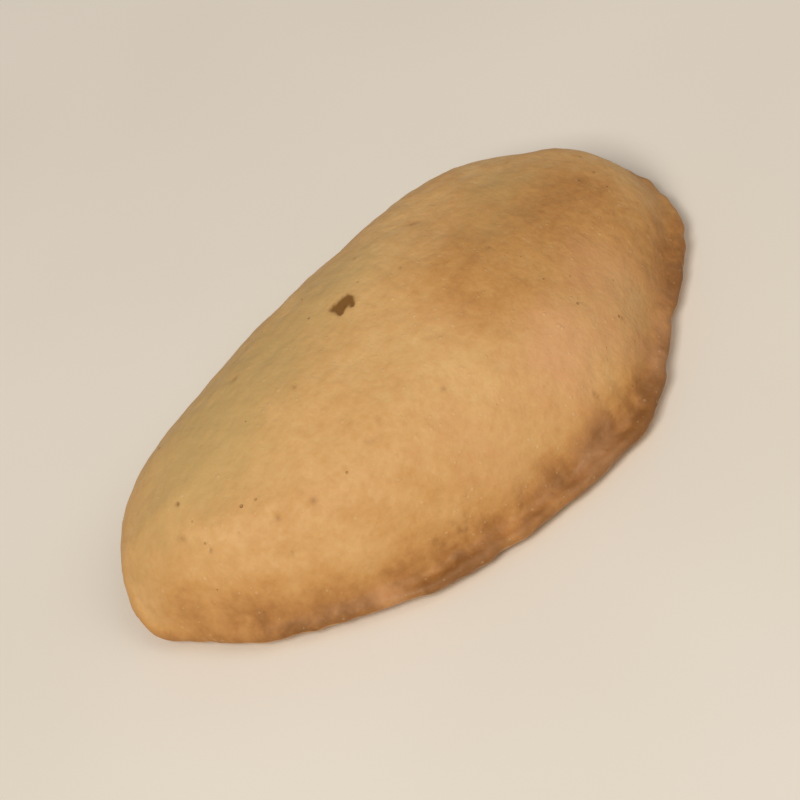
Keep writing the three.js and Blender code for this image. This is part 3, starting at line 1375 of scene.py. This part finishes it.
    def strew(self, scatter: Scatter) -> None:
        """Pushes a scatter of small pits into the crust, or raises crumbs on it.

        Args:
            scatter: Where they lie and how large they are.
        """
        skin = self.skin
        draw = random.Random(scatter.seed)
        shown = self.on_side(scatter.side)
        candidates = np.flatnonzero(shown)
        tree = self.tree_over(shown)
        crowding = Waves(scatter.crowding, 1.0, 1, scatter.seed)
        push = np.zeros(len(skin.places))
        mask = self.crumbs if scatter.rise > 0 else self.pores
        made = 0
        while made < scatter.count:
            middle = skin.places[draw.choice(candidates)]
            if crowding.over([middle])[0] < draw.gauss(0.0, scatter.looseness):
                continue
            made += 1
            radius = scatter.radius(draw.random())
            stretch = scatter.stretch * draw.random()
            turn = draw.random() * math.pi
            for place, k, away in tree.find_range(middle, scatter.reach * radius):
                across = (place[1] - middle[1]) * math.cos(turn) - (place[0] - middle[0]) * math.sin(turn)
                share = float(bell(math.hypot(away, stretch * across), radius))
                height = scatter.rise * radius * share
                push[k] = height if abs(height) > abs(push[k]) else push[k]
                mask[k] = max(mask[k], scatter.shade * share)
        skin.push(push)

    def mark_spots(self) -> None:
        """Makes the dark spot where a little filling came through, and the dark dots."""
        marks = (*self.dark_spot, *self.dark_dots)
        self.scorch = total(marks, self.skin.places) * (1 - self.under)
        rise = self.spot_rise * self.spot_rim.over(self.scorch)
        self.skin.push(rise - self.spot_depth * self.spot_burnt.over(self.scorch))

    def blister_base(self) -> None:
        """Sinks the small burst blister into the flat base, with a broken ring of crumbs round it."""
        depth = self.blister.over(self.skin.places) * self.flat
        self.skin.push(-depth)
        places = self.skin.places
        broken = np.clip(0.5 + self.blister_breaks.over(places), 0.0, 1.0)
        ring = self.blister_edge.over(self.blister.away(places)) * self.flat * broken
        self.crumbs = np.maximum(self.crumbs, self.blister_crumbs * ring)
        self.pores = np.maximum(self.pores, self.blister_shade * depth)

    def settle(self) -> None:
        """Keeps everything on or above the surface that the biscuit lies on."""
        self.skin.places[:, 2] = np.maximum(self.skin.places[:, 2], 0.0)
        self.skin.write()

    def keep_masks(self) -> None:
        """Stores what the finish reads: how brown, olive and rosy the crust is, and its small marks."""
        places = self.skin.places
        masks = {
            # Browning, together with the painted shade and painted highlights.
            "browning_and_shade": self.bake_and_shade.over(self) + self.underside.shade(self),
            "olive": total(self.olive_patches, places),
            "rosy": total(self.rosy_patches, places) + self.rosy_lip * self.bake_and_shade.on_lip(self),
            "pores": self.pores,
            "crumbs": self.crumbs,
            "scorch": self.scorch,
            "base": self.underside.base(self),
        }
        for name, values in masks.items():
            self.skin.store(name, values)


@dataclass(frozen=True)
class Lamp:
    """A soft square light.

    Attributes:
        name: Its object's name.
        azimuth: Degrees round the biscuit, with 0 in front of the sealed edge.
        elevation: Degrees above the table.
        distance_m: Metres from the biscuit.
        size_m: Metres along each side.
        power: Watts.
        tone: Its colour.
    """

    name: str
    azimuth: float
    elevation: float
    distance_m: float
    size_m: float
    power: float
    tone: Tone

    def place(self, target: Vector) -> None:
        """Adds the light, turned to the target.

        Args:
            target: Where it points, in metres.
        """
        data = bpy.data.lights.new(self.name, "AREA")
        data.size = self.size_m
        data.energy = self.power
        data.color = self.tone.linear()[:3]
        lamp = bpy.data.objects.new(self.name, data)
        bpy.context.collection.objects.link(lamp)
        back = direction(self.azimuth, self.elevation)
        lamp.location = target + back * self.distance_m
        lamp.rotation_euler = back.to_track_quat("Z", "Y").to_euler()


@dataclass
class Studio:
    """The plain table, the soft lights and the camera at the photographed angle."""

    azimuth: float = -32.7
    elevation: float = 44.8
    roll: float = -25.8
    distance_m: float = 0.7
    lens: float = 202.0
    aim_m: Vector = field(default_factory=lambda: Vector((-0.0045, 0.0011, 0.011)))
    table_m: float = 6.0
    lamps: tuple[Lamp, ...] = (
        Lamp("key", -62, 50, 1.2, 0.45, 9.0, Tone(255, 249, 241)),
        Lamp("fill", 25, 55, 1.3, 0.9, 3.2, Tone(255, 247, 238)),
    )
    sky: Tone = Tone(238, 233, 225)
    sky_strength: float = 0.36

    def build(self) -> None:
        """Adds the table, the lights, the room's light and the camera."""
        self.add_table()
        for lamp in self.lamps:
            lamp.place(self.aim_m)
        self.light_room()
        self.add_camera()

    def add_table(self) -> None:
        """Adds the pale table that the biscuit lies on."""
        bpy.ops.object.select_all(action="DESELECT")
        bpy.ops.mesh.primitive_plane_add(size=self.table_m, location=(0, 0, 0))
        table = bpy.context.active_object
        table.name = "table"
        table.data.materials.append(TableFinish().build())

    def light_room(self) -> None:
        """Lights everything a little from all round."""
        world = bpy.data.worlds.new("room")
        world.use_nodes = True
        background = world.node_tree.nodes["Background"]
        background.inputs["Color"].default_value = self.sky.linear()
        background.inputs["Strength"].default_value = self.sky_strength
        bpy.context.scene.world = world

    def add_camera(self) -> None:
        """Adds the camera, rolled as the photograph was."""
        data = bpy.data.cameras.new("camera")
        data.lens = self.lens
        data.clip_start, data.clip_end = 0.01, 20.0
        camera = bpy.data.objects.new("camera", data)
        bpy.context.collection.objects.link(camera)
        back = direction(self.azimuth, self.elevation)
        level = Vector((math.cos(math.radians(self.azimuth)), math.sin(math.radians(self.azimuth)), 0))
        right = Matrix.Rotation(math.radians(self.roll), 3, back) @ level
        axes = Matrix((right, back.cross(right), back)).transposed()
        camera.matrix_world = Matrix.Translation(self.aim_m + back * self.distance_m) @ axes.to_4x4()
        bpy.context.scene.camera = camera


def main() -> None:
    """Builds the studio and the biscuit, and ties the biscuit to the frame."""
    logging.basicConfig(level=logging.INFO, format="%(name)s: %(message)s")
    bpy.context.scene.view_settings.view_transform = "Standard"
    Studio().build()
    LOG.info("studio ready")

    crust = Crust().build(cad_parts[NODE])
    crust.data.materials.clear()
    crust.data.materials.append(CrustFinish().build(pastry_grain()))
    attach(crust, BODY)
    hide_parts(NODE)
    LOG.info("%s has %d faces", crust.name, len(crust.data.polygons))


if __name__ == "__main__":
    main()
